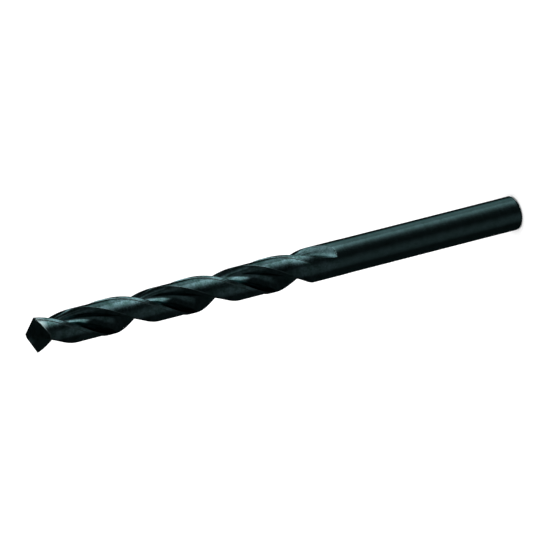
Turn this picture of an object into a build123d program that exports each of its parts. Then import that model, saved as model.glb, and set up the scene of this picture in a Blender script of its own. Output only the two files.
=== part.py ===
from build123d import *
import os
from math import asin, atan2, ceil, cos, degrees, pi, radians, sin, sqrt, tan

# A straight-shank twist drill with two right-hand flutes, ground from one round bar of steel.
# Millimetres and degrees. Z is the drill's axis: it stands on the shank's flat end at Z = 0,
# and the point is on top. At the point the two lips lie along X, and seen from above
# the drill cuts turning anticlockwise.

# Blank: the body is ground to size, and the shank is left a little thinner
drill_diameter = 7.0
overall_length = 109.0
body_length = 69.0
shank_diameter = 6.94
shank_taper = 1.0
shank_chamfer = 0.45

# Flutes: their helix, the web between them, how far the heel and the gullet are rounded,
# and the wheel that leaves the bar at their end
flute_length = 66.5
flute_lead = 34.95
web_at_point = 1.25
web_growth = 0.022
heel_lean = 38.4
heel_roundness = 2.17
gullet_roundness = 1.4
lift_direction = 130.0
wheel_radius = 60.0
flute_end_depth = 0.04

# Lands: from the leading edge to the heel, with the full diameter left only on the margin
land_angle = 80.2
margin_width = 0.82
body_clearance = 0.19
clearance_length = 61.0

# Point: the cone on which each flank is ground lies along the lip, with its tip past the centre
point_angle = 118.0
lip_relief = 3.1
grinding_cone_angle = 58.4
grinding_cone_reach = 4.37

# Cutters: how far they stand outside the blank, how far the clearance goes past the heel, the turn
# from one section to the next, the number of steps along a section's cutting side, how far the side
# of the point's grinder is turned from the lips, and the grinder's cone in drill diameters
overhang = 1.5
heel_overlap = 6.0
section_step = 36.0
lip_steps = 4
grinder_turn = -35.0
cone_diameters = 5.0

radius = drill_diameter / 2
cleared_radius = radius - body_clearance
shank_radius = shank_diameter / 2
half_point = point_angle / 2
helix_angle = degrees(atan2(pi * drill_diameter, flute_lead))


def polar(r, angle):
    """The point at radius r and at an angle from the X axis."""
    return Vector(r * cos(radians(angle)), r * sin(radians(angle)))


def web(depth):
    """The web's thickness at a depth below the point: it grows towards the shank."""
    return web_at_point + web_growth * depth


def lip_angle(r, depth):
    """Where the flute's cutting side lies at radius r, so that the cone of the point cuts a straight lip."""
    along_lip = sqrt(max(r**2 - (web(depth) / 2) ** 2, 0))
    return degrees(asin(web(depth) / 2 / r)) + 360 * along_lip / flute_lead / tan(radians(half_point))


def lip_point(along, depth):
    """The point of the flute's cutting side at this distance along the lip from the web's middle."""
    r = sqrt(along**2 + (web(depth) / 2) ** 2)
    return polar(r, lip_angle(r, depth))


def full_lift():
    """How far the wheel moves out before the flute ends: the gullet is then just under the surface."""
    half_web = web(flute_length) / 2
    sideways = half_web * cos(radians(lift_direction))
    outwards = half_web * sin(radians(lift_direction))
    return sqrt((radius - flute_end_depth) ** 2 - sideways**2) - outwards


def lift(depth):
    """How far the wheel has left the bar: it follows the wheel's own arc at the end of the flute."""
    runout = sqrt(wheel_radius**2 - (wheel_radius - full_lift()) ** 2) * cos(radians(helix_angle))
    past_start = max(depth - flute_length + runout, 0) / cos(radians(helix_angle))
    return wheel_radius - sqrt(wheel_radius**2 - past_start**2)


def placed(section, depth, shift=Vector(0, 0)):
    """A section moved outwards, turned with the helix and set at its depth below the point."""
    turned = Rot(0, 0, -360 * depth / flute_lead)
    return Pos(0, 0, overall_length - depth) * turned * Pos(shift.X, shift.Y, 0) * section


def flute_section(depth):
    """The flute's cross-section: the rounded heel side, the gullet at the web, and the cutting side."""
    heel_angle = lip_angle(radius, depth) - land_angle + 180
    heel = polar(radius - body_clearance / 2, heel_angle)
    gullet = Vector(0, web(depth) / 2)
    outside = radius + overhang
    heel_pull = heel + polar(heel_roundness, heel_angle + 180 + heel_lean)
    gullet_pull = gullet - Vector(gullet_roundness, 0)
    heel_outside = polar(outside, heel_angle)
    reach = sqrt(outside**2 - gullet.Y**2)
    lip_points = [lip_point(reach * step / lip_steps, depth) for step in range(1, lip_steps + 1)]
    lip_outside = lip_points[-1]
    crown = polar(outside, (heel_angle + lip_angle(outside, depth)) / 2)
    edges = [
        Line(heel_outside, heel),
        Bezier(heel, heel_pull, gullet_pull, gullet),
        Spline(gullet, *lip_points, tangents=[(1, 0), lip_outside - lip_points[-2]]),
        ThreePointArc(lip_outside, crown, heel_outside),
    ]
    section = Wire([line.edge() for line in edges])
    return placed(section, depth, polar(lift(depth), lift_direction))


def clearance_section(depth):
    """The sector of the section that is cleared, from behind the margin to past the heel."""
    lead_angle = lip_angle(radius, depth)
    start = lead_angle - degrees(margin_width / radius)
    end = lead_angle - land_angle - heel_overlap
    inner, outer = radius / 2, 2 * radius
    corners = [(inner, start), (inner, end), (outer, end), (outer, start)]
    return placed(Wire.make_polygon([polar(r, angle) for r, angle in corners]), depth)


def helical_cutter(section, length):
    """A cutter lofted through sections that turn with the helix, from above the point downwards."""
    reach = length + overhang
    steps = ceil(reach / flute_lead * 360 / section_step)
    return Solid.make_loft([section(length - reach * step / steps) for step in range(steps + 1)])


def point_grinder():
    """What is ground off behind one lip: all outside a cone that touches the drill along that lip."""
    lip = Vector(sin(radians(half_point)), 0, -cos(radians(half_point)))
    behind_lip = Vector(0, -cos(radians(lip_relief)), -sin(radians(lip_relief)))
    inwards = lip.cross(behind_lip).normalized()
    half_cone = radians(grinding_cone_angle / 2)
    axis = lip * cos(half_cone) + inwards * sin(half_cone)
    from_apex = lip * grinding_cone_reach
    # The cone's height over the drill's axis, from the cone's own equation
    across = Vector(from_apex.X, -web_at_point / 2)
    flat = across.X * axis.X + across.Y * axis.Y
    a = axis.Z**2 - cos(half_cone) ** 2
    b = 2 * flat * axis.Z
    c = flat**2 - (across.X**2 + across.Y**2) * cos(half_cone) ** 2
    drop = max((-b - sqrt(b**2 - 4 * a * c)) / 2 / a, (-b + sqrt(b**2 - 4 * a * c)) / 2 / a)
    apex = Vector(-from_apex.X, web_at_point / 2, overall_length - drop)
    cone_length = cone_diameters * drill_diameter
    cone = Cone(0, cone_length * tan(half_cone), cone_length, align=(Align.CENTER, Align.CENTER, Align.MIN))
    cone = Plane(origin=apex, z_dir=axis) * cone
    block = Box(drill_diameter, 2 * drill_diameter, drill_diameter, align=(Align.MIN, Align.CENTER, Align.CENTER))
    block = Pos(0, 0, overall_length) * Rot(0, 0, grinder_turn) * Pos(-web_at_point / 2, 0, 0) * block
    return block - cone


def land_cutter():
    """What is ground off behind one margin: the part of a ring round the cleared land that lies there."""
    length = 2 * clearance_length
    ring = Cylinder(radius + overhang, length) - Cylinder(cleared_radius, length)
    return Pos(0, 0, overall_length) * ring & helical_cutter(clearance_section, clearance_length)


def make_bar():
    """The turned bar: the shank with its chamfered end, a slight taper, and the body up past the point."""
    shoulder = overall_length - body_length
    outline = [
        (0, 0),
        (shank_radius - shank_chamfer, 0),
        (shank_radius, shank_chamfer),
        (shank_radius, shoulder - shank_taper),
        (radius, shoulder),
        (radius, overall_length + overhang / 2),
        (0, overall_length + overhang / 2),
    ]
    return revolve(Plane.XZ * make_face(Polyline(outline, close=True)), Axis.Z)


def make_drill():
    """The whole drill: the bar, then the flutes, the lands and the point ground out of it."""
    drill = make_bar()
    for cutter in (helical_cutter(flute_section, flute_length), land_cutter(), point_grinder()):
        drill = drill - [cutter, Rot(0, 0, 180) * cutter]
    return drill


os.makedirs("parts", exist_ok=True)
drill_bit = make_drill()
export_step(drill_bit, "parts/drill_bit.step")
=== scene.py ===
from math import asin, atan2, cos, degrees, pi, radians, sin, sqrt, tan

import bpy
from mathutils import Matrix, Vector


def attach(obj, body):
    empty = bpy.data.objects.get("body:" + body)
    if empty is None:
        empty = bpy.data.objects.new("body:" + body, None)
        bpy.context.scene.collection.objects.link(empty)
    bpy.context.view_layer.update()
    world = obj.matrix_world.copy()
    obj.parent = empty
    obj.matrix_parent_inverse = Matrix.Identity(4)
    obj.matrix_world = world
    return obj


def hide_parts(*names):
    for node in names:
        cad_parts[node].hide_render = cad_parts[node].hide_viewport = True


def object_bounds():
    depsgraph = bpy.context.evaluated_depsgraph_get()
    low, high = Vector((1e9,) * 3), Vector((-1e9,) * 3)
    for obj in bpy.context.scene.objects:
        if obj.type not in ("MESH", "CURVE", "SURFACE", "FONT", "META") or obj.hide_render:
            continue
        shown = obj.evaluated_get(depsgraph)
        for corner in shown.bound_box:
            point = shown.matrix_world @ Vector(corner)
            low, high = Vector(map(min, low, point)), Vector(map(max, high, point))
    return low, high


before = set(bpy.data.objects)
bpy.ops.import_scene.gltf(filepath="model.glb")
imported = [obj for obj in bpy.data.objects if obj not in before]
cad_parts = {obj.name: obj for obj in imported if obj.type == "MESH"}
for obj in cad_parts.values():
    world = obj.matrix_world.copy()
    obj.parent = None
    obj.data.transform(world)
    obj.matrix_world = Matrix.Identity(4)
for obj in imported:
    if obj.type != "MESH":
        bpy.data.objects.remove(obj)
cad_low, cad_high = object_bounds()

# The drill stands on its shank's end at Z = 0 with its point on top, in metres. The sizes below
# are the part's own, so that the mesh made here lies where the solid does.
MM = 0.001
LENGTH = cad_high[2]

DRILL_RADIUS = 3.5 * MM
SHANK_RADIUS = 3.47 * MM
BODY_LENGTH = 69.0 * MM
SHANK_TAPER = 1.0 * MM
SHANK_CHAMFER = 0.45 * MM

FLUTE_LENGTH = 66.5 * MM
FLUTE_LEAD = 34.95 * MM
WEB_AT_POINT = 1.25 * MM
WEB_GROWTH = 0.022
HEEL_LEAN = radians(38.4)
HEEL_ROUNDNESS = 2.17 * MM
GULLET_ROUNDNESS = 1.4 * MM
LIFT_DIRECTION = radians(130.0)
WHEEL_RADIUS = 60.0 * MM
FLUTE_END_DEPTH = 0.04 * MM

LAND_ANGLE = radians(80.2)
MARGIN_WIDTH = 0.82 * MM
BODY_CLEARANCE = 0.19 * MM
CLEARANCE_LENGTH = 61.0 * MM
HEEL_OVERLAP = radians(6.0)

HALF_POINT = radians(59.0)
LIP_RELIEF = radians(3.1)
HALF_GRINDING_CONE = radians(29.2)
GRINDING_CONE_REACH = 4.37 * MM
GRINDER_TURN = radians(-35.0)

# How far a cutter stands outside the bar, the length of the grinding cone, how far below the tip the
# point reaches the full diameter, and the helix's angle there
OVERHANG = 1.5 * MM
CONE_LENGTH = 3 * (GRINDING_CONE_REACH + 2 * DRILL_RADIUS)
RIM_DEPTH = DRILL_RADIUS / tan(HALF_POINT)
HELIX_ANGLE = atan2(2 * pi * DRILL_RADIUS, FLUTE_LEAD)

# Fineness of the mesh: facets round the bar and the cones, steps along the helix and along each
# outline, the distance at which points are joined, and the bend from which an edge is sharp
BAR_FACETS = 384
CONE_FACETS = 512
HELIX_STEP = 0.28 * MM
HEEL_STEPS = 44
LIP_STEPS = 46
CROWN_STEPS = 12
LAND_STEPS = 40
JOIN_DISTANCE = 0.002 * MM
SHARP_EDGE = radians(24)


# Nodes and objects

def live(sockets):
    """The sockets that a node shows with its settings."""
    return [s for s in sockets if s.enabled and not s.is_unavailable]


def fill(tree, socket, value):
    """Sets a value on an input, or links it there: a node is linked by its first live output."""
    if isinstance(value, bpy.types.Node):
        value = live(value.outputs)[0]
    if isinstance(value, bpy.types.NodeSocket):
        tree.links.new(value, socket)
    else:
        socket.default_value = value


def node(tree, kind, *values, **settings):
    """Adds a node with its settings, and fills its live inputs in their order. A list is several links."""
    new = tree.nodes.new(kind)
    for name, value in settings.items():
        setattr(new, name, value)
    for socket, value in zip(live(new.inputs), values):
        if value is not None:
            for one in value if isinstance(value, list) else [value]:
                fill(tree, socket, one)
    return new


def geometry_tree(name, inputs, output):
    """A Geometry Nodes tree with named inputs and one output, and the sockets that give the inputs."""
    tree = bpy.data.node_groups.new(name, "GeometryNodeTree")
    for label, kind in inputs.items():
        tree.interface.new_socket(label, in_out="INPUT", socket_type=f"NodeSocket{kind}")
    tree.interface.new_socket(output, in_out="OUTPUT", socket_type="NodeSocketGeometry")
    return tree, node(tree, "NodeGroupInput").outputs


def added(name, data):
    """A new object in the scene."""
    new = bpy.data.objects.new(name, data)
    bpy.context.scene.collection.objects.link(new)
    return new


def linear(hex_colour):
    """An sRGB hex colour as the linear colour that shaders take."""
    parts = [int(hex_colour[i:i + 2], 16) / 255 for i in (1, 3, 5)]
    return (*(p / 12.92 if p <= 0.04045 else ((p + 0.055) / 1.055) ** 2.4 for p in parts), 1.0)


# Outlines of the cutters, by the same rules as the part's source

def polar(r, angle):
    return Vector((r * cos(angle), r * sin(angle)))


def web(depth):
    """The web's thickness at a depth below the point: it grows towards the shank."""
    return WEB_AT_POINT + WEB_GROWTH * depth


def lip_turn(along):
    """How far the cutting side is turned at a distance along the lip, for the point to cut it straight."""
    return 2 * pi * along / FLUTE_LEAD / tan(HALF_POINT)


def lead_angle(depth):
    """Where the land's leading edge lies in the section at a depth below the point."""
    half_web = web(depth) / 2
    return asin(half_web / DRILL_RADIUS) + lip_turn(sqrt(DRILL_RADIUS**2 - half_web**2))


def runout_length():
    """How far before its end the flute starts to lift, along the drill."""
    half_web = web(FLUTE_LENGTH) / 2
    full_lift = (sqrt((DRILL_RADIUS - FLUTE_END_DEPTH)**2 - (half_web * cos(LIFT_DIRECTION))**2)
                 - half_web * sin(LIFT_DIRECTION))
    return sqrt(WHEEL_RADIUS**2 - (WHEEL_RADIUS - full_lift)**2) * cos(HELIX_ANGLE)


def arc(r, start, end, count):
    return [polar(r, start + (end - start) * i / count) for i in range(count + 1)]


def bezier(a, b, c, d, count):
    """Points from a to d along a curve that leaves towards b and arrives from c, without the last one."""
    points = []
    for i in range(count):
        t = i / count
        points.append((1 - t)**3 * a + 3 * t * (1 - t)**2 * b + 3 * t * t * (1 - t) * c + t**3 * d)
    return points


def flute_outline(depth):
    """The flute's section: the heel side, the gullet, the cutting side, and a crown outside the bar."""
    heel_angle = lead_angle(depth) - LAND_ANGLE + pi
    heel = polar(DRILL_RADIUS - BODY_CLEARANCE / 2, heel_angle)
    gullet = Vector((0, web(depth) / 2))
    outside = DRILL_RADIUS + OVERHANG
    heel_pull = heel + polar(HEEL_ROUNDNESS, heel_angle + pi + HEEL_LEAN)
    gullet_pull = gullet - Vector((GULLET_ROUNDNESS, 0))
    points = [polar(outside, heel_angle)] + bezier(heel, heel_pull, gullet_pull, gullet, HEEL_STEPS)
    reach = sqrt(outside**2 - (WEB_AT_POINT / 2)**2)
    for i in range(LIP_STEPS + 1):
        along = reach * i / LIP_STEPS
        points.append(Matrix.Rotation(lip_turn(along), 2) @ Vector((along, gullet.y)))
    lip = points[-1]
    crown = arc(outside, atan2(lip.y, lip.x), heel_angle, CROWN_STEPS)
    return points + crown[1:-1]


def land_outline(depth):
    """The ring's sector that is ground off behind a margin, from the margin to past the heel."""
    start = lead_angle(depth) - MARGIN_WIDTH / DRILL_RADIUS
    end = lead_angle(depth) - LAND_ANGLE - HEEL_OVERLAP
    inner = arc(DRILL_RADIUS - BODY_CLEARANCE, start, end, LAND_STEPS)
    return inner + arc(DRILL_RADIUS + OVERHANG, end, start, LAND_STEPS)


def outline_object(name, outline, end_depth):
    """A closed outline at the point, which also carries the same outline at the cutter's end."""
    near, far = outline(0), outline(end_depth)
    count = len(near)
    mesh = bpy.data.meshes.new(name)
    mesh.from_pydata([(*p, 0) for p in near], [(i, (i + 1) % count) for i in range(count)], [])
    for key, points in (("near", near), ("far", far)):
        attribute = mesh.attributes.new(key, "FLOAT_VECTOR", "POINT")
        for i, p in enumerate(points):
            attribute.data[i].vector = (*p, 0)
    return added(name, mesh)


def bar_object(name):
    """The turned bar's stations along its axis, each with the bar's radius there."""
    shoulder = LENGTH - BODY_LENGTH
    stations = [
        (0, SHANK_RADIUS - SHANK_CHAMFER),
        (SHANK_CHAMFER, SHANK_RADIUS),
        (shoulder - SHANK_TAPER, SHANK_RADIUS),
        (shoulder, DRILL_RADIUS),
        (LENGTH + OVERHANG / 2, DRILL_RADIUS),
    ]
    mesh = bpy.data.meshes.new(name)
    mesh.from_pydata([(0, 0, z) for z, _ in stations], [(i, i + 1) for i in range(len(stations) - 1)], [])
    radius = mesh.attributes.new("bar_radius", "FLOAT", "POINT")
    for i, (_, r) in enumerate(stations):
        radius.data[i].value = r
    return added(name, mesh)


def wheel_lift(tree, depth, given):
    """How far the wheel's own arc has lifted a section out of the bar, over the cutter's last stretch."""
    start = node(tree, "ShaderNodeMath", given["Length"], given["Runout"], operation="SUBTRACT")
    past = node(tree, "ShaderNodeMath", depth, start, operation="SUBTRACT")
    past = node(tree, "ShaderNodeMath", past, 0, operation="MAXIMUM")
    past = node(tree, "ShaderNodeMath", past, cos(HELIX_ANGLE), operation="DIVIDE")
    square = node(tree, "ShaderNodeMath", past, past, operation="MULTIPLY")
    wheel = node(tree, "ShaderNodeMath", given["Wheel radius"], given["Wheel radius"], operation="MULTIPLY")
    left = node(tree, "ShaderNodeMath", wheel, square, operation="SUBTRACT")
    left = node(tree, "ShaderNodeMath", left, operation="SQRT")
    return node(tree, "ShaderNodeMath", given["Wheel radius"], left, operation="SUBTRACT")


def cutter_tree():
    """A helical cutter: an outline swept down the drill, turned with the helix and lifted at its end."""
    tree, given = geometry_tree("helical_cutter", {
        "Outline": "Object", "Length": "Float", "Flute lead": "Float", "Runout": "Float",
        "Wheel radius": "Float", "Lift direction": "Float", "Overhang": "Float", "Helix step": "Float",
        "Point height": "Float",
    }, "Cutter")

    outline = node(tree, "GeometryNodeObjectInfo", given["Outline"])
    profile = node(tree, "GeometryNodeMeshToCurve", outline.outputs["Geometry"])
    bottom = node(tree, "ShaderNodeCombineXYZ", 0, 0, given["Length"])
    above = node(tree, "ShaderNodeMath", 0, given["Overhang"], operation="SUBTRACT")
    top = node(tree, "ShaderNodeCombineXYZ", 0, 0, above)
    rail = node(tree, "GeometryNodeCurvePrimitiveLine", top, bottom)
    steps = node(tree, "GeometryNodeResampleCurve", rail, None, given["Helix step"], mode="LENGTH")
    along = node(tree, "ShaderNodeSeparateXYZ", node(tree, "GeometryNodeInputPosition"))
    marked = node(tree, "GeometryNodeStoreNamedAttribute", steps, None, "depth", along.outputs["Z"])
    swept = node(tree, "GeometryNodeCurveToMesh", marked, profile, 1.0, True)

    # The outline goes over from the one at the point to the one at the cutter's end
    depth = node(tree, "GeometryNodeInputNamedAttribute", "depth")
    near = node(tree, "GeometryNodeInputNamedAttribute", "near", data_type="FLOAT_VECTOR")
    far = node(tree, "GeometryNodeInputNamedAttribute", "far", data_type="FLOAT_VECTOR")
    share = node(tree, "ShaderNodeMath", depth, given["Length"], operation="DIVIDE")
    section = node(tree, "ShaderNodeMix", share, near, far, data_type="VECTOR", clamp_factor=False)
    shift = node(tree, "ShaderNodeCombineXYZ", wheel_lift(tree, depth, given))
    shift = node(tree, "ShaderNodeVectorRotate", shift, None, given["Lift direction"],
                 rotation_type="Z_AXIS")
    section = node(tree, "ShaderNodeVectorMath", section, shift, operation="ADD")

    turns = node(tree, "ShaderNodeMath", depth, given["Flute lead"], operation="DIVIDE")
    turn = node(tree, "ShaderNodeMath", turns, -2 * pi, operation="MULTIPLY")
    turned = node(tree, "ShaderNodeVectorRotate", section, None, turn, rotation_type="Z_AXIS")
    height = node(tree, "ShaderNodeMath", given["Point height"], depth, operation="SUBTRACT")
    lifted = node(tree, "ShaderNodeCombineXYZ", 0, 0, height)
    final = node(tree, "ShaderNodeVectorMath", turned, lifted, operation="ADD")
    placed = node(tree, "GeometryNodeSetPosition", swept, None, final)
    outwards = node(tree, "GeometryNodeFlipFaces", placed)
    node(tree, "NodeGroupOutput", outwards)
    return tree


def grinder_frame():
    """The grinding cone's tip and axis behind one lip, worked out as in the part's source."""
    lip = Vector((sin(HALF_POINT), 0, -cos(HALF_POINT)))
    behind = Vector((0, -cos(LIP_RELIEF), -sin(LIP_RELIEF)))
    inwards = lip.cross(behind).normalized()
    axis = lip * cos(HALF_GRINDING_CONE) + inwards * sin(HALF_GRINDING_CONE)
    from_tip = lip * GRINDING_CONE_REACH
    across = Vector((from_tip.x, -WEB_AT_POINT / 2))
    flat = across.x * axis.x + across.y * axis.y
    a = axis.z**2 - cos(HALF_GRINDING_CONE)**2
    b = 2 * flat * axis.z
    c = flat**2 - across.length_squared * cos(HALF_GRINDING_CONE)**2
    root = sqrt(b**2 - 4 * a * c)
    drop = max((-b - root) / 2 / a, (-b + root) / 2 / a)
    return Vector((-from_tip.x, WEB_AT_POINT / 2, LENGTH - drop)), axis


def grinder_tree():
    """What is ground off behind one lip: a block, less the cone that touches the drill along the lip."""
    tree, given = geometry_tree("point_grinder", {
        "Cone tip": "Vector", "Cone axis": "Vector", "Cone length": "Float", "Cone radius": "Float",
        "Block": "Vector", "Block shift": "Vector", "Block turn": "Float", "Point height": "Float",
    }, "Grinder")
    cone = node(tree, "GeometryNodeMeshCone", CONE_FACETS, 1, 1, given["Cone radius"], 0.0,
                given["Cone length"])
    direction = node(tree, "FunctionNodeAlignRotationToVector", None, 1.0, given["Cone axis"], axis="Z")
    cone = node(tree, "GeometryNodeTransform", cone, given["Cone tip"], direction)
    block = node(tree, "GeometryNodeMeshCube", given["Block"])
    shifted = node(tree, "GeometryNodeTransform", block, given["Block shift"])
    turn = node(tree, "FunctionNodeAxisAngleToRotation", (0, 0, 1), given["Block turn"])
    height = node(tree, "ShaderNodeCombineXYZ", 0, 0, given["Point height"])
    placed = node(tree, "GeometryNodeTransform", shifted, height, turn)
    ground = node(tree, "GeometryNodeMeshBoolean", placed, cone, operation="DIFFERENCE", solver="MANIFOLD")
    node(tree, "NodeGroupOutput", ground)
    return tree


def drill_tree(flute, land, steel):
    """The drill: the turned bar, less two flutes, two cleared lands and the two flanks of the point."""
    sizes = {
        "Flute length": FLUTE_LENGTH, "Clearance length": CLEARANCE_LENGTH, "Flute lead": FLUTE_LEAD,
        "Runout": runout_length(), "Wheel radius": WHEEL_RADIUS, "Lift direction": LIFT_DIRECTION,
        "Clearance runout": sqrt(2 * WHEEL_RADIUS * BODY_CLEARANCE),
        "Land direction": lead_angle(CLEARANCE_LENGTH) - (LAND_ANGLE + MARGIN_WIDTH / DRILL_RADIUS) / 2,
        "Overhang": OVERHANG, "Helix step": HELIX_STEP, "Point height": LENGTH,
        "Facets": BAR_FACETS, "Sharp edge angle": SHARP_EDGE,
    }
    kinds = {name: "Int" if isinstance(size, int) else "Float" for name, size in sizes.items()}
    tree, given = geometry_tree("ground_drill", {"Bar": "Geometry"} | kinds, "Drill")

    radius = node(tree, "GeometryNodeInputNamedAttribute", "bar_radius")
    rail = node(tree, "GeometryNodeMeshToCurve", given["Bar"])
    circle = node(tree, "GeometryNodeCurvePrimitiveCircle", given["Facets"], None, None, None, 1.0)
    bar = node(tree, "GeometryNodeCurveToMesh", rail, circle, radius, True)

    cutters = cutter_tree()
    tip, axis = grinder_frame()
    made = [
        node(tree, "GeometryNodeGroup", flute, given["Flute length"], given["Flute lead"], given["Runout"],
             given["Wheel radius"], given["Lift direction"], given["Overhang"], given["Helix step"],
             given["Point height"], node_tree=cutters),
        node(tree, "GeometryNodeGroup", land, given["Clearance length"], given["Flute lead"],
             given["Clearance runout"], given["Wheel radius"], given["Land direction"], given["Overhang"],
             given["Helix step"], given["Point height"], node_tree=cutters),
        node(tree, "GeometryNodeGroup", tip, axis, CONE_LENGTH, CONE_LENGTH * tan(HALF_GRINDING_CONE),
             (2 * DRILL_RADIUS, 4 * DRILL_RADIUS, 2 * DRILL_RADIUS),
             (DRILL_RADIUS - WEB_AT_POINT / 2, 0, 0), GRINDER_TURN, given["Point height"],
             node_tree=grinder_tree()),
    ]

    # A face keeps the name of the wheel that ground it, for the material's lines
    half_turn = node(tree, "FunctionNodeAxisAngleToRotation", (0, 0, 1), pi)
    cuts = []
    for cutter, wheel in zip(made, ("flute_wheel", "", "point_wheel")):
        if wheel:
            cutter = node(tree, "GeometryNodeStoreNamedAttribute", cutter, None, wheel, 1.0, domain="FACE")
        cuts += [cutter, node(tree, "GeometryNodeTransform", cutter, None, half_turn)]
    ground = node(tree, "GeometryNodeMeshBoolean", bar, cuts, operation="DIFFERENCE", solver="MANIFOLD")

    merged = node(tree, "GeometryNodeMergeByDistance", ground, None, JOIN_DISTANCE)
    smooth = node(tree, "GeometryNodeSetShadeSmooth", merged, None, True)
    bend = node(tree, "GeometryNodeInputMeshEdgeAngle")
    sharp = node(tree, "ShaderNodeMath", bend, given["Sharp edge angle"], operation="GREATER_THAN")
    edged = node(tree, "GeometryNodeStoreNamedAttribute", smooth, None, "sharp_edge", sharp,
                 data_type="BOOLEAN", domain="EDGE")
    real = node(tree, "GeometryNodeRealizeInstances", edged)
    finished = node(tree, "GeometryNodeSetMaterial", real, None, steel)
    node(tree, "NodeGroupOutput", finished)
    return tree, sizes


def make_drill(steel):
    """Runs the drill's tree on the bar and keeps the result as one plain mesh."""
    flute = outline_object("flute_outline", flute_outline, FLUTE_LENGTH)
    land = outline_object("land_outline", land_outline, CLEARANCE_LENGTH)
    bar = bar_object("drill_bar")
    tree, sizes = drill_tree(flute, land, steel)
    modifier = bar.modifiers.new("ground_drill", "NODES")
    modifier.node_group = tree
    for item in tree.interface.items_tree:
        if item.in_out == "INPUT" and item.name in sizes:
            modifier[item.identifier] = sizes[item.name]
    mesh = bpy.data.meshes.new_from_object(bar.evaluated_get(bpy.context.evaluated_depsgraph_get()))
    for helper in (bar, flute, land):
        bpy.data.objects.remove(helper)
    return added("ground_drill_bit", mesh)


# Black oxide on ground high-speed steel: a thin dark blue-green layer over fine grinding lines

DARK_OXIDE = "#27403c"
PALE_OXIDE = "#536d72"
BARE_STEEL = "#a3b4b4"
GRAZING_TINT = "#bccfcc"

# Patterns, by how many of their marks lie in a millimetre. The lines that a grinding wheel leaves are
# too fine to show, so they are drawn coarser, as close together as the picture can show them. Two
# stretches draw a pattern out into lines, round the bar and along the flute.
CLOUDS_PER_MM = 0.8
SPECKS_PER_MM = 3.0
LINES_PER_MM = 5.0
ARCS_PER_MM = 6.0
ROUND_THE_BAR = (0.06, 0.06, 1)
ALONG_THE_FLUTE = (1, 1, 0.03)
LINE_HEIGHT = 0.008 * MM

# How far an edge is rounded, and how far behind the lips the land is rubbed bare and painted paler as a
# highlight
EASED_EDGE = 0.2 * MM
RIM_PATCH_LENGTH = 1.6 * MM

# The shank's tone between dark and pale, and how near to it the clouds are brought there
SHANK_TONE = 0.4
SHANK_EVENNESS = 0.6

# Painted highlights: how bright a land is painted at its heel and at its margin, and how much brighter the
# flute's end is painted than the flute; the share of bare steel on the rubbed land, also a painted
# highlight, and on an edge
HEEL_PAINTED_HIGHLIGHT = 0.75
MARGIN_PAINTED_HIGHLIGHT = 1.3
RUNOUT_PAINTED_HIGHLIGHT = 0.25
RIM_WEAR_AND_HIGHLIGHT = 0.7
EDGE_BARE = 0.5

# Roughness of the steel from its finest to its coarsest lines, what share of it a flute has, and
# what the wheel adds where it leaves the flute
FINEST_ROUGHNESS = 0.08
COARSEST_ROUGHNESS = 0.18
FLUTE_SHARE = 0.55
RUNOUT_ROUGHNESS = 0.3


def untwisted(tree, place, depth):
    """A place turned back with the helix, so that what follows the flutes is straight in it."""
    turn = node(tree, "ShaderNodeMath", depth, 2 * pi * MM / FLUTE_LEAD, operation="MULTIPLY")
    return node(tree, "ShaderNodeVectorRotate", place, None, turn, rotation_type="Z_AXIS")


def grinding_lines(tree, place, straight, in_flute, on_point):
    """Height of the grinding lines: round the bar, along the helix in a flute, and in arcs on the point."""
    round_bar = node(tree, "ShaderNodeVectorMath", place, ROUND_THE_BAR, operation="MULTIPLY")
    bar_lines = node(tree, "ShaderNodeTexNoise", round_bar, LINES_PER_MM, 5.0, 0.7)
    along_flute = node(tree, "ShaderNodeVectorMath", straight, ALONG_THE_FLUTE, operation="MULTIPLY")
    flute_lines = node(tree, "ShaderNodeTexNoise", along_flute, LINES_PER_MM, 4.0, 0.6)

    # Both flanks have the same arcs, so the second one is turned onto the first
    tip, axis = grinder_frame()
    behind = Vector((sin(GRINDER_TURN), -cos(GRINDER_TURN), 0))
    side = node(tree, "ShaderNodeVectorMath", place, behind, operation="DOT_PRODUCT")
    side = node(tree, "ShaderNodeMath", side.outputs["Value"], operation="SIGN")
    mirror = node(tree, "ShaderNodeCombineXYZ", side, side, 1.0)
    flank = node(tree, "ShaderNodeVectorMath", place, mirror, operation="MULTIPLY")
    from_tip = node(tree, "ShaderNodeVectorMath", flank, tip / MM, operation="SUBTRACT")
    slant = node(tree, "ShaderNodeVectorMath", from_tip, axis, operation="DOT_PRODUCT")
    arcs = node(tree, "ShaderNodeCombineXYZ", slant.outputs["Value"])
    point_lines = node(tree, "ShaderNodeTexNoise", arcs, ARCS_PER_MM, 3.0, 0.6)

    lines = node(tree, "ShaderNodeMix", in_flute, bar_lines, flute_lines)
    return node(tree, "ShaderNodeMix", on_point, lines, point_lines)


def oxide_colour(tree, place, depth, specks):
    """The oxide took unevenly, in bluish and greenish clouds with small specks, but less so on the shank."""
    clouds = node(tree, "ShaderNodeTexNoise", place, CLOUDS_PER_MM, 4.0, 0.6)

    # Noise stays near one half, so its middle range is spread over all tones
    tone = node(tree, "ShaderNodeMix", 0.5, clouds, specks)
    tone = node(tree, "ShaderNodeMapRange", tone, 0.38, 0.62, 0.0, 1.0)
    on_shank = node(tree, "ShaderNodeMath", depth, FLUTE_LENGTH / MM, operation="GREATER_THAN")
    evened = node(tree, "ShaderNodeMath", on_shank, SHANK_EVENNESS, operation="MULTIPLY")
    tone = node(tree, "ShaderNodeMix", evened, tone, SHANK_TONE)
    return node(tree, "ShaderNodeMix", tone, linear(DARK_OXIDE), linear(PALE_OXIDE), data_type="RGBA")


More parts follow.
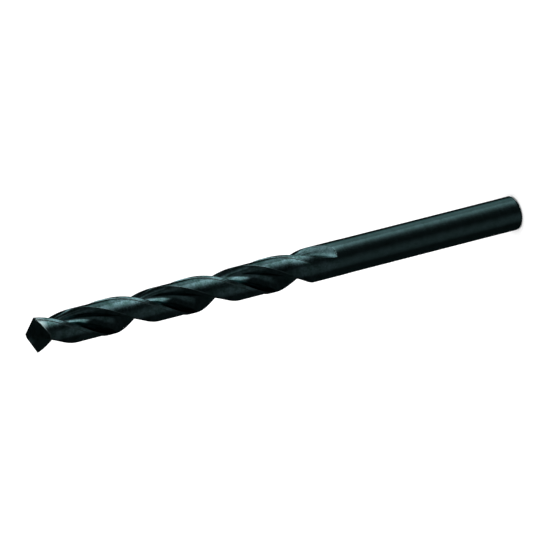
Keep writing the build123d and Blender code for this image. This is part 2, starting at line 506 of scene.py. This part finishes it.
def painted_land_highlight(tree, straight, depth, in_flute):
    """A painted highlight: a land is painted brighter towards its margin than towards its heel. Off the
    lands this is 1.
    """
    towards_lead = polar(MM / DRILL_RADIUS, lead_angle(FLUTE_LENGTH / 2))
    nearness = node(tree, "ShaderNodeVectorMath", straight, (*towards_lead, 0), operation="DOT_PRODUCT")
    nearness = node(tree, "ShaderNodeMath", nearness.outputs["Value"], operation="ABSOLUTE")
    painted_highlight = node(tree, "ShaderNodeMapRange", nearness, 0.3, 0.95, HEEL_PAINTED_HIGHLIGHT, MARGIN_PAINTED_HIGHLIGHT)
    off_land = node(tree, "ShaderNodeMath", depth, CLEARANCE_LENGTH / MM, operation="GREATER_THAN")
    off_land = node(tree, "ShaderNodeMath", off_land, in_flute, operation="MAXIMUM")
    return node(tree, "ShaderNodeMix", off_land, painted_highlight, 1.0)


def flute_runout(tree, depth, in_flute):
    """From 0 to 1 over the stretch where the wheel leaves the flute, which is coarser there and painted
    brighter as a highlight.
    """
    start = FLUTE_LENGTH - runout_length()
    leaving = node(tree, "ShaderNodeMapRange", depth, start / MM, FLUTE_LENGTH / MM, 0.0, 1.0)
    return node(tree, "ShaderNodeMath", leaving, in_flute, operation="MULTIPLY")


def painted_rim_highlight_and_wear(tree, depth, in_flute, on_point):
    """How bare the land is where drilling rubs it, at the corners of the lips and just behind them. The pale
    patch there is also a painted highlight.
    """
    rim_wear_and_highlight = node(tree, "ShaderNodeMapRange", depth, RIM_DEPTH / MM, (RIM_DEPTH + RIM_PATCH_LENGTH) / MM,
                  RIM_WEAR_AND_HIGHLIGHT, 0.0)
    off_bar = node(tree, "ShaderNodeMath", in_flute, on_point, operation="MAXIMUM")
    return node(tree, "ShaderNodeMix", off_bar, rim_wear_and_highlight, 0.0)


def black_oxide_steel():
    """The drill's whole skin. It shines teal in full light and is near black elsewhere."""
    steel = bpy.data.materials.new("black_oxide_high_speed_steel")
    steel.use_nodes = True
    tree = steel.node_tree
    in_flute = node(tree, "ShaderNodeAttribute", attribute_name="flute_wheel").outputs["Fac"]
    on_point = node(tree, "ShaderNodeAttribute", attribute_name="point_wheel").outputs["Fac"]
    place = node(tree, "ShaderNodeTexCoord").outputs["Object"]
    place = node(tree, "ShaderNodeVectorMath", place, 1 / MM, operation="SCALE")
    height = node(tree, "ShaderNodeSeparateXYZ", place).outputs["Z"]
    depth = node(tree, "ShaderNodeMath", LENGTH / MM, height, operation="SUBTRACT")
    straight = untwisted(tree, place, depth)
    lines = grinding_lines(tree, place, straight, in_flute, on_point)
    specks = node(tree, "ShaderNodeTexNoise", place, SPECKS_PER_MM, 4.0, 0.7)
    leaving = flute_runout(tree, depth, in_flute)

    colour = oxide_colour(tree, place, depth, specks)
    # Painted highlight: the lands are painted brighter towards their margins
    painted_highlight = painted_land_highlight(tree, straight, depth, in_flute)
    colour = node(tree, "ShaderNodeVectorMath", colour, painted_highlight, operation="SCALE")
    # Painted highlight: the flute's end is painted brighter
    painted_runout_highlight = node(tree, "ShaderNodeMath", leaving, RUNOUT_PAINTED_HIGHLIGHT, 1.0, operation="MULTIPLY_ADD")
    colour = node(tree, "ShaderNodeVectorMath", colour, painted_runout_highlight, operation="SCALE")
    # Bare steel behind the lips: wear, and also a painted highlight
    rim_wear_and_highlight = painted_rim_highlight_and_wear(tree, depth, in_flute, on_point)
    colour = node(tree, "ShaderNodeMix", rim_wear_and_highlight, colour, linear(BARE_STEEL), data_type="RGBA")

    # Edges are rubbed round and thin, so they catch the light as fine pale lines
    eased = node(tree, "ShaderNodeBevel", EASED_EDGE, samples=16)
    face = node(tree, "ShaderNodeNewGeometry").outputs["Normal"]
    bend = node(tree, "ShaderNodeVectorMath", eased, face, operation="DOT_PRODUCT")
    worn = node(tree, "ShaderNodeMapRange", bend.outputs["Value"], 0.98, 0.8, 0.0, EDGE_BARE)
    colour = node(tree, "ShaderNodeMix", worn, colour, linear(BARE_STEEL), data_type="RGBA")

    # A flute is smoother than the bar, up to where the wheel leaves it
    rough = node(tree, "ShaderNodeMapRange", lines, 0.3, 0.7, FINEST_ROUGHNESS, COARSEST_ROUGHNESS)
    polish = node(tree, "ShaderNodeMix", in_flute, 1.0, FLUTE_SHARE)
    rough = node(tree, "ShaderNodeMath", rough, polish, operation="MULTIPLY")
    rough = node(tree, "ShaderNodeMath", leaving, RUNOUT_ROUGHNESS, rough, operation="MULTIPLY_ADD")
    grooves = node(tree, "ShaderNodeMix", 0.3, lines, specks)
    bump = node(tree, "ShaderNodeBump", 0.5, LINE_HEIGHT, None, grooves, eased)

    # The oxide also dulls and tints the light that meets it at a grazing angle
    finish = {"Metallic": 1.0, "Base Color": colour, "Roughness": rough, "Normal": bump,
              "Specular Tint": linear(GRAZING_TINT)}
    for name, value in finish.items():
        fill(tree, tree.nodes["Principled BSDF"].inputs[name], value)
    return steel


# Camera: the drill as the photograph shows it, from a long lens. The tip's pixel is counted from the
# picture's upper left corner. From there the drill leads up to the right and away from the camera.

FOCAL_PIXELS = 4812.67
PICTURE_PIXELS = 547
POINT_PIXEL = (26.38, 337.55)
POINT_DISTANCE = 0.9116
SLOPE_IN_PICTURE = radians(14.3644)
AWAY_FROM_CAMERA = radians(26.2434)
TURN_ABOUT_AXIS = 0.396


def camera_axes():
    """The drill's frame as the camera sees it, X right, Y down and Z away: a rotation and the origin."""
    shankwards = Vector((cos(AWAY_FROM_CAMERA) * cos(SLOPE_IN_PICTURE),
                         -cos(AWAY_FROM_CAMERA) * sin(SLOPE_IN_PICTURE), sin(AWAY_FROM_CAMERA)))
    up = Vector((0, -1, 0))
    up = (up - up.dot(shankwards) * shankwards).normalized()
    side = shankwards.cross(up)
    x_axis = cos(TURN_ABOUT_AXIS) * up + sin(TURN_ABOUT_AXIS) * side
    y_axis = sin(TURN_ABOUT_AXIS) * up - cos(TURN_ABOUT_AXIS) * side
    turn = Matrix((x_axis, y_axis, -shankwards)).transposed()
    middle = PICTURE_PIXELS / 2
    point = Vector(((POINT_PIXEL[0] - middle) / FOCAL_PIXELS, (POINT_PIXEL[1] - middle) / FOCAL_PIXELS, 1))
    return turn, point * POINT_DISTANCE + LENGTH * shankwards


def make_camera():
    """Places the camera, and returns its rotation from right, up and towards it to the drill's frame."""
    turn, origin = camera_axes()
    to_world = turn.transposed()
    data = bpy.data.cameras.new("camera")
    data.sensor_width = 36.0
    data.lens = FOCAL_PIXELS / PICTURE_PIXELS * data.sensor_width
    data.clip_start = 0.05
    camera = added("camera", data)
    camera_turn = to_world @ Matrix(((1, 0, 0), (0, -1, 0), (0, 0, -1)))
    camera.matrix_world = Matrix.Translation(-(to_world @ origin)) @ camera_turn.to_4x4()
    bpy.context.scene.camera = camera
    return camera_turn


# Stage: a white floor under the shank's end, and a studio whose panels of light lie as they do
# in the photograph, above the drill as it is seen there

FLOOR_HALF_SIZE = 6.0
SOFTBOX_SIZE = 1.6
SOFTBOX_HEIGHT = 1.4
SOFTBOX_WATTS = 34.0
DIM_WALLS = 0.036
# Each panel runs from one direction to another, as right, up and towards the camera, and has its
# half width and soft edge in degrees and its strength
PANELS = [
    ((0.33, 0.24, 0.91), (-0.17, 0.78, -0.60), 13, 11, 1.35),
    ((0.42, 0.54, 0.73), (0.10, 0.99, -0.08), 9, 3, 1.3),
    ((-0.07, -0.16, 0.98), (-0.39, 0.86, 0.33), 4.5, 3.5, 3.3),
    ((0.79, -0.60, 0.15), (0.22, 0.01, 0.98), 27, 15, 0.13),
]


def pale_floor():
    """White paper, lit to plain white, with the drill's soft shadow. It isn't mirrored in the steel."""
    mesh = bpy.data.meshes.new("floor")
    half = FLOOR_HALF_SIZE
    mesh.from_pydata([(-half, -half, 0), (half, -half, 0), (half, half, 0), (-half, half, 0)], [],
                     [(0, 1, 2, 3)])
    floor = added("floor", mesh)
    paper = bpy.data.materials.new("white_paper")
    paper.use_nodes = True
    shader = paper.node_tree.nodes["Principled BSDF"]
    shader.inputs["Base Color"].default_value = linear("#ffffff")
    shader.inputs["Roughness"].default_value = 1.0
    shader.inputs["Specular IOR Level"].default_value = 0.0
    mesh.materials.append(paper)
    floor.visible_glossy = False
    floor.visible_shadow = False


def ceiling_softbox():
    """The lamp over the floor: its light is soft, and it makes the shadow at the drill's foot."""
    light = bpy.data.lights.new("ceiling_softbox", "AREA")
    light.shape = "SQUARE"
    light.size = SOFTBOX_SIZE
    light.energy = SOFTBOX_WATTS
    lamp = added("ceiling_softbox", light)
    lamp.location = (0, 0, SOFTBOX_HEIGHT)
    lamp.visible_glossy = False


def studio_world(camera_turn):
    """Dim walls with soft-edged rectangular panels of light. Where panels cross, their light adds up."""
    world = bpy.data.worlds.new("studio")
    world.use_nodes = True
    tree = world.node_tree
    coordinates = node(tree, "ShaderNodeTexCoord").outputs["Generated"]
    direction = node(tree, "ShaderNodeVectorMath", coordinates, operation="NORMALIZE")
    light = DIM_WALLS
    for one_end, other_end, half_width, soft, strength in PANELS:
        ends = [(camera_turn @ Vector(end)).normalized() for end in (one_end, other_end)]
        middle = (ends[0] + ends[1]).normalized()
        across = ends[0].cross(ends[1]).normalized()
        half_length = degrees(middle.angle(ends[0]))
        off_line = node(tree, "ShaderNodeVectorMath", direction, across, operation="DOT_PRODUCT")
        off_line = node(tree, "ShaderNodeMath", off_line.outputs["Value"], operation="ABSOLUTE")
        near_line = node(tree, "ShaderNodeMapRange", off_line, sin(radians(half_width + soft)),
                         sin(radians(half_width - soft)), 0.0, strength, interpolation_type="SMOOTHSTEP")
        along = node(tree, "ShaderNodeVectorMath", direction, middle, operation="DOT_PRODUCT")
        between = node(tree, "ShaderNodeMapRange", along.outputs["Value"],
                       cos(radians(half_length + soft)), cos(radians(half_length - soft)), 0.0, 1.0,
                       interpolation_type="SMOOTHSTEP")
        panel = node(tree, "ShaderNodeMath", near_line, between, operation="MULTIPLY")
        light = node(tree, "ShaderNodeMath", panel, light, operation="ADD")
    background = tree.nodes["Background"]
    fill(tree, background.inputs["Color"], light)
    fill(tree, background.inputs["Strength"], 1.0)
    bpy.context.scene.world = world


camera_turn = make_camera()
steel = black_oxide_steel()
drill = make_drill(steel)
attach(drill, "root")
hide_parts("drill_bit")

pale_floor()
ceiling_softbox()
studio_world(camera_turn)
bpy.context.scene.view_settings.view_transform = "Standard"
